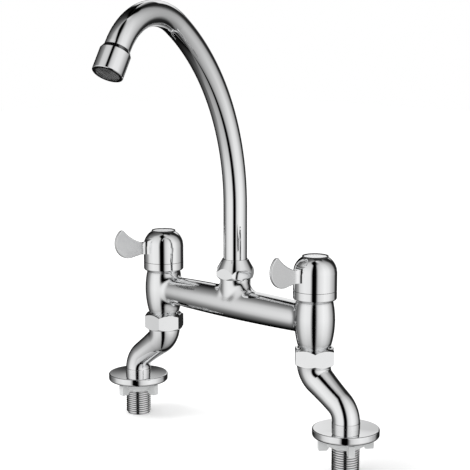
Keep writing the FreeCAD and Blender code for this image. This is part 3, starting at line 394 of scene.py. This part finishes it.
def upright_ring(name, centre, foot, top, inner, outer, corner):
    """An upright ring round centre, from foot to top, with its two top edges rounded."""
    ring = bmesh.new()
    corners = ((inner, foot), (outer, foot), (outer, top), (inner, top))
    section = [ring.verts.new((centre.x + radius, centre.y, height)) for radius, height in corners]
    sides = [ring.edges.new(pair) for pair in zip(section, section[1:] + section[:1])]
    bmesh.ops.spin(
        ring, geom=section + sides, cent=centre, axis=UP, angle=math.tau, steps=120, use_merge=True
    )
    bmesh.ops.remove_doubles(ring, verts=ring.verts, dist=SAME_PLACE)
    bmesh.ops.recalc_face_normals(ring, faces=ring.faces)
    at_top = [e for e in ring.edges if min(v.co.z for v in e.verts) > top - SAME_PLACE]
    top_edges = [e for e in at_top if runs_round(e, centre)]
    bmesh.ops.bevel(
        ring, geom=top_edges, offset=corner, segments=3, profile=0.5, affect="EDGES", material=-1
    )
    return finished_piece(name, ring)


# Colours, each with the tarnished or shaded one it is mixed with
CHROME = (0.93, 0.935, 0.94)
# The near-black mixed with the enamel is a painted dark reflection on the caps' chrome rims
ENAMEL, PAINTED_RIM_REFLECTION = (0.90, 0.905, 0.91), (0.02, 0.02, 0.02)
THREAD_CREST_TONE, THREAD_ROOT_TONE = (0.92, 0.92, 0.92), (0.50, 0.50, 0.51)
BRASS, OLD_BRASS = (0.80, 0.62, 0.33), (0.66, 0.49, 0.25)
STEEL, OLD_STEEL = (0.64, 0.64, 0.65), (0.55, 0.55, 0.56)
DARK_STEEL, OLD_DARK_STEEL = (0.30, 0.30, 0.30), (0.19, 0.19, 0.19)
RUBBER, DUSTY_RUBBER = (0.035, 0.035, 0.036), (0.05, 0.05, 0.05)
ACETAL, PALE_ACETAL = (0.15, 0.15, 0.16), (0.18, 0.18, 0.19)
NUT_PLASTIC, NUT_PLASTIC_SHADE = (0.80, 0.81, 0.81), (0.74, 0.75, 0.75)

# Sizes in metres that a finish or a piece follows
JUNCTION_BLEND = 0.006
ENAMEL_RADIUS = 0.0085
TAIL_RADIUS = 0.0105
THREAD_DEPTH = 0.0011
GAUZE_PITCH = 0.0009
GAUZE_WIRE = 0.0003
CAP_GROOVE = 0.0005
CAP_RING_DEPTH = 0.0015
CAP_RING_PROUD = 0.0006
CAP_RING_ROUND = 0.00015

# The levers, seen along the valves' axes: how far each is turned, where the dome ends, and how light the
# side of each is painted; the lighter hot side and the darker cold side are painted light and shade on
# one finish
LEVER_TURN = {"hot": math.radians(-12.7), "cold": math.radians(-4.6)}
LEVER_FOOT = (0.0195, 0.0225)
LEVER_SIDE_PAINTED_LIGHT = {"hot": 1.06, "cold": 0.80}

# The tap's axes: the spout's foot, the valves, the feet and the spout's mouth
spout_axis_point = Vector((0, 0, 0))
valve_axis_point = {side: middle(f"{side}_shroud_ring") for side in SIDES}
foot_axis_point = {side: middle(f"{side}_flange") for side in SIDES}
mouth_axis = Vector((0.107362, -0.532458, -0.83962)).normalized()
mouth = middle("aerator_housing")

# Bright plate on the casting and the spout
casting_chrome = plated(
    "chrome on the bridge casting", CHROME, gloss=0.012, ripple=0.000008, blend=JUNCTION_BLEND
)
tube_chrome = plated("chrome on the drawn spout tube", CHROME, gloss=0.01, ripple=0.000005)
spout_nut_chrome = plated_turned(
    "chrome on the spout nut", CHROME, spout_axis_point, UP, gloss=0.02
)
housing_chrome = plated_turned(
    "chrome on the aerator housing", CHROME, mouth, mouth_axis, gloss=0.02
)
collar_chrome = plated_turned(
    "chrome on the spout collar", CHROME, mouth, mouth_axis, gloss=0.02
)

dress("bridge_body", casting_chrome)
dress("spout_tube", tube_chrome)
dress("spout_nut", spout_nut_chrome)
dress("aerator_housing", housing_chrome)
dress("spout_tip_sleeve", collar_chrome)

# What isn't plated
rubber = moulded(
    "black rubber", RUBBER, DUSTY_RUBBER, gloss=0.5, grain_size=0.0004, depth=0.000012
)
acetal = moulded(
    "grey acetal", ACETAL, PALE_ACETAL, gloss=0.34, grain_size=0.0005, depth=0.000006
)
ceramic = lapped("lapped ceramic")
nut_plastic = moulded(
    "pale moulded plastic of the backnuts", NUT_PLASTIC, NUT_PLASTIC_SHADE,
    gloss=0.38, grain_size=0.0006, depth=0.00001,
)
spout_brass = machined(
    "turned brass of the bush", BRASS, OLD_BRASS, spout_axis_point, UP, spacing=0.0006, gloss=0.18
)
mouth_steel = machined(
    "dark steel gauze", DARK_STEEL, OLD_DARK_STEEL, mouth, mouth_axis, spacing=0.0008, gloss=0.30
)

dress("spout_bush", spout_brass)
dress("spout_slip_ring", acetal)
dress("spout_o_rings", rubber)
dress("aerator_washer", rubber)
dress("aerator_insert", acetal)
dress("aerator_screen", mouth_steel)

for side in SIDES:
    valve, foot = valve_axis_point[side], foot_axis_point[side]
    brass = machined(
        f"turned brass of the {side} valve", BRASS, OLD_BRASS, valve, UP, spacing=0.0006, gloss=0.18
    )
    steel = machined(
        f"turned steel of the {side} valve", STEEL, OLD_STEEL, valve, UP, spacing=0.0005, gloss=0.22
    )
    handle_chrome = plated_handle(
        f"chrome on the {side} handle", CHROME, valve, LEVER_TURN[side], LEVER_SIDE_PAINTED_LIGHT[side], gloss=0.012
    )
    cap_enamel = enamelled(f"white enamel of the {side} cap", valve, ENAMEL_RADIUS)
    ring_chrome = plated_turned(f"chrome on the {side} ring", CHROME, valve, UP, gloss=0.02)
    union_chrome = plated_turned(f"chrome on the {side} union nut", CHROME, valve, UP, gloss=0.03)
    leg_chrome = plated(f"chrome on the {side} leg", CHROME, gloss=0.02, ripple=0.000008)
    flange_chrome = plated_turned(f"chrome on the {side} flange", CHROME, foot, UP, gloss=0.02)
    tail_plate = plated_thread(f"plate on the {side} tail", foot, TAIL_RADIUS)
    dress(f"{side}_handle", handle_chrome)
    dress(f"{side}_index_cap", cap_enamel)
    dress(f"{side}_shroud_ring", ring_chrome)
    dress(f"{side}_union_nut", union_chrome)
    dress(f"{side}_leg", leg_chrome)
    dress(f"{side}_flange", flange_chrome)
    dress(f"{side}_tail", tail_plate)
    for node in ("cartridge_body", "spindle", "union_ring"):
        dress(f"{side}_{node}", brass)
    for node in ("handle_screw", "spindle_circlip"):
        dress(f"{side}_{node}", steel)
    for node in ("fixed_disc", "moving_disc"):
        dress(f"{side}_{node}", ceramic)
    for node in ("seat_seal", "bonnet_o_ring", "spindle_o_ring", "union_washer", "flange_gasket"):
        dress(f"{side}_{node}", rubber)
    for node in ("clamp_washer", "wing_nut"):
        dress(f"{side}_{node}", nut_plastic)

# A thin ring of the black rubber material stands round each cap
for side in SIDES:
    cap_low, cap_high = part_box(f"{side}_index_cap")
    cap_radius = (cap_high.x - cap_low.x) / 2
    cap_ring = upright_ring(
        f"{side}_cap_ring", middle(f"{side}_index_cap"),
        cap_high.z - CAP_RING_DEPTH, cap_high.z + CAP_RING_PROUD,
        cap_radius, cap_radius + CAP_GROOVE, CAP_RING_ROUND,
    )
    cap_ring.data.materials.append(rubber)
    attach(cap_ring, f"{side}_control")

screen_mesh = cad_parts["aerator_screen"].data
screen_centre = middle("aerator_screen")
screen_radius = max((v.co - screen_centre).cross(mouth_axis).length for v in screen_mesh.vertices)
gauze = woven_screen(
    "aerator_gauze", screen_centre, mouth_axis, screen_radius, GAUZE_PITCH, GAUZE_WIRE
)
gauze.data.materials.append(mouth_steel)
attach(gauze, "spout")
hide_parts("aerator_screen")


# The studio as what shines sees it. Angles are in degrees: turn is 0 towards the camera's place and
# grows to its right, and rise is above the horizon. Tones are 0 for black and 1 for white.
WALL_BY_TURN = {
    -180: 0.05, -160: 0.08, -150: 0.15, -138: 0.28, -120: 0.46, -108: 0.56, -100: 0.66, -92: 0.82,
    -80: 0.90, -60: 0.95, -30: 0.92, 24: 0.91, 48: 0.98, 75: 0.93, 96: 0.78, 114: 0.64, 121: 0.40,
    127: 0.20, 150: 0.12, 180: 0.05,
}
LIGHT_BY_RISE = {
    -90: 0.45, -60: 0.70, -40: 0.82, -25: 0.94, -10: 1.0, 10: 1.0, 30: 0.96, 50: 0.90, 70: 0.80, 90: 0.6,
}
CAMERA_STAND = {-30: 1.0, -24: 0.85, -19: 0.5, -17: 0.0, -1: 0.0, 3: 0.3, 7: 0.65, 13: 0.9, 24: 1.0}
STAND_FLARE = 3
BACK_CARD = {-180: 0.9, -170: 0.9, -163: 0.0, 144: 0.0, 152: 0.93, 166: 0.93, 176: 0.92, 180: 0.9}
BACK_CARD_RISE = (9, 21, 37, 42)
DARK_CEILING = {-180: 1.0, -160: 1.0, -150: 0.0, 100: 0.0, 115: 1.0, 180: 1.0}
DARK_CEILING_RISE = 60
TONE_POWER = 2.2


def studio(world):
    """White all round for the camera. What shines sees the walls, cards and camera stand of a studio."""
    world.use_nodes = True
    world.node_tree.nodes.clear()
    nodes = Nodes(world.node_tree)
    ray = nodes.node("ShaderNodeTexCoord", {}, {}).outputs["Generated"]
    toward = (math.sin(CAMERA_AZIMUTH), -math.cos(CAMERA_AZIMUTH), 0)
    beside = (math.cos(CAMERA_AZIMUTH), math.sin(CAMERA_AZIMUTH), 0)
    across = nodes.dot(ray, beside)
    turn = across.math("ARCTAN2", across, nodes.dot(ray, toward)) * math.degrees(1)
    up = nodes.dot(ray, UP)
    rise = up.math("ARCSINE", up) * math.degrees(1)
    wall = turn.profile(WALL_BY_TURN) * rise.profile(LIGHT_BY_RISE)
    spread = 1 + STAND_FLARE * rise.step(55, 85)
    stand = turn.math("DIVIDE", turn, spread).profile(CAMERA_STAND)
    above_edge = rise.step(BACK_CARD_RISE[0], BACK_CARD_RISE[1])
    below_edge = 1 - rise.step(BACK_CARD_RISE[2], BACK_CARD_RISE[3])
    card = turn.profile(BACK_CARD) * above_edge * below_edge
    ceiling = turn.profile(DARK_CEILING) * rise.step(DARK_CEILING_RISE, DARK_CEILING_RISE + 8)
    tone = (wall * stand * (1 - 0.85 * ceiling)).largest(card)
    shine = tone.math("POWER", tone, TONE_POWER)
    path = nodes.node("ShaderNodeLightPath", {}, {}).outputs
    glossy = Value(nodes, path["Is Glossy Ray"])
    camera = Value(nodes, path["Is Camera Ray"]).largest(Value(nodes, path["Is Transmission Ray"]))
    level = camera + (1 - camera) * (glossy * shine + (1 - glossy) * PLAIN_LIGHT)
    light = nodes.node("ShaderNodeBackground", {}, {"Color": (1, 1, 1, 1), "Strength": level})
    out = nodes.node("ShaderNodeOutputWorld", {}, {})
    nodes.feed(out.inputs["Surface"], light.outputs[0])


def white_floor(height):
    """A white ground that keeps the tap's soft shadow."""
    plane = bmesh.new()
    bmesh.ops.create_grid(plane, x_segments=1, y_segments=1, size=FLOOR_SIZE)
    bmesh.ops.translate(plane, vec=(0, 0, height), verts=plane.verts)
    floor = finished_piece("floor", plane)
    floor.visible_glossy = False
    paint = bpy.data.materials.new("white floor")
    paint.use_nodes = True
    nodes = Nodes(paint.node_tree)
    path = nodes.node("ShaderNodeLightPath", {}, {}).outputs
    surface = paint.node_tree.nodes["Principled BSDF"]
    surface.inputs["Base Color"].default_value = (0.9, 0.9, 0.9, 1)
    surface.inputs["Roughness"].default_value = 0.9
    surface.inputs["Specular IOR Level"].default_value = 0.0
    surface.inputs["Emission Strength"].default_value = 0.30
    lift = nodes.mixed(path["Is Camera Ray"], (0, 0, 0), (1, 1, 1))
    nodes.feed(surface.inputs["Emission Color"], lift)
    floor.data.materials.append(paint)


def softbox(name, place, size, power):
    lamp = bpy.data.lights.new(name, "AREA")
    lamp.shape = "DISK"
    lamp.size = size
    lamp.energy = power
    box = bpy.data.objects.new(name, lamp)
    box.location = place
    box.rotation_euler = (CAMERA_TARGET - place).to_track_quat("-Z", "Y").to_euler()
    box.visible_glossy = False
    bpy.context.scene.collection.objects.link(box)


def photo_camera():
    camera = bpy.data.objects.new("camera", bpy.data.cameras.new("camera"))
    back = Vector((
        math.sin(CAMERA_AZIMUTH) * math.cos(CAMERA_ELEVATION),
        -math.cos(CAMERA_AZIMUTH) * math.cos(CAMERA_ELEVATION),
        math.sin(CAMERA_ELEVATION),
    ))
    camera.location = CAMERA_TARGET + back * CAMERA_DISTANCE
    camera.rotation_euler = (-back).to_track_quat("-Z", "Y").to_euler()
    camera.data.sensor_width = 36
    camera.data.lens = CAMERA_LENS
    camera.data.clip_start = 0.05
    camera.data.clip_end = 20
    bpy.context.scene.collection.objects.link(camera)
    bpy.context.scene.camera = camera


scene = bpy.context.scene
scene.view_settings.view_transform = "Standard"
scene.world = bpy.data.worlds.new("studio")
studio(scene.world)
white_floor(cad_box[0].z - FLOOR_DROP)
softbox("softbox above left", Vector((-1.0, -1.2, 1.9)), 1.4, 22)
photo_camera()
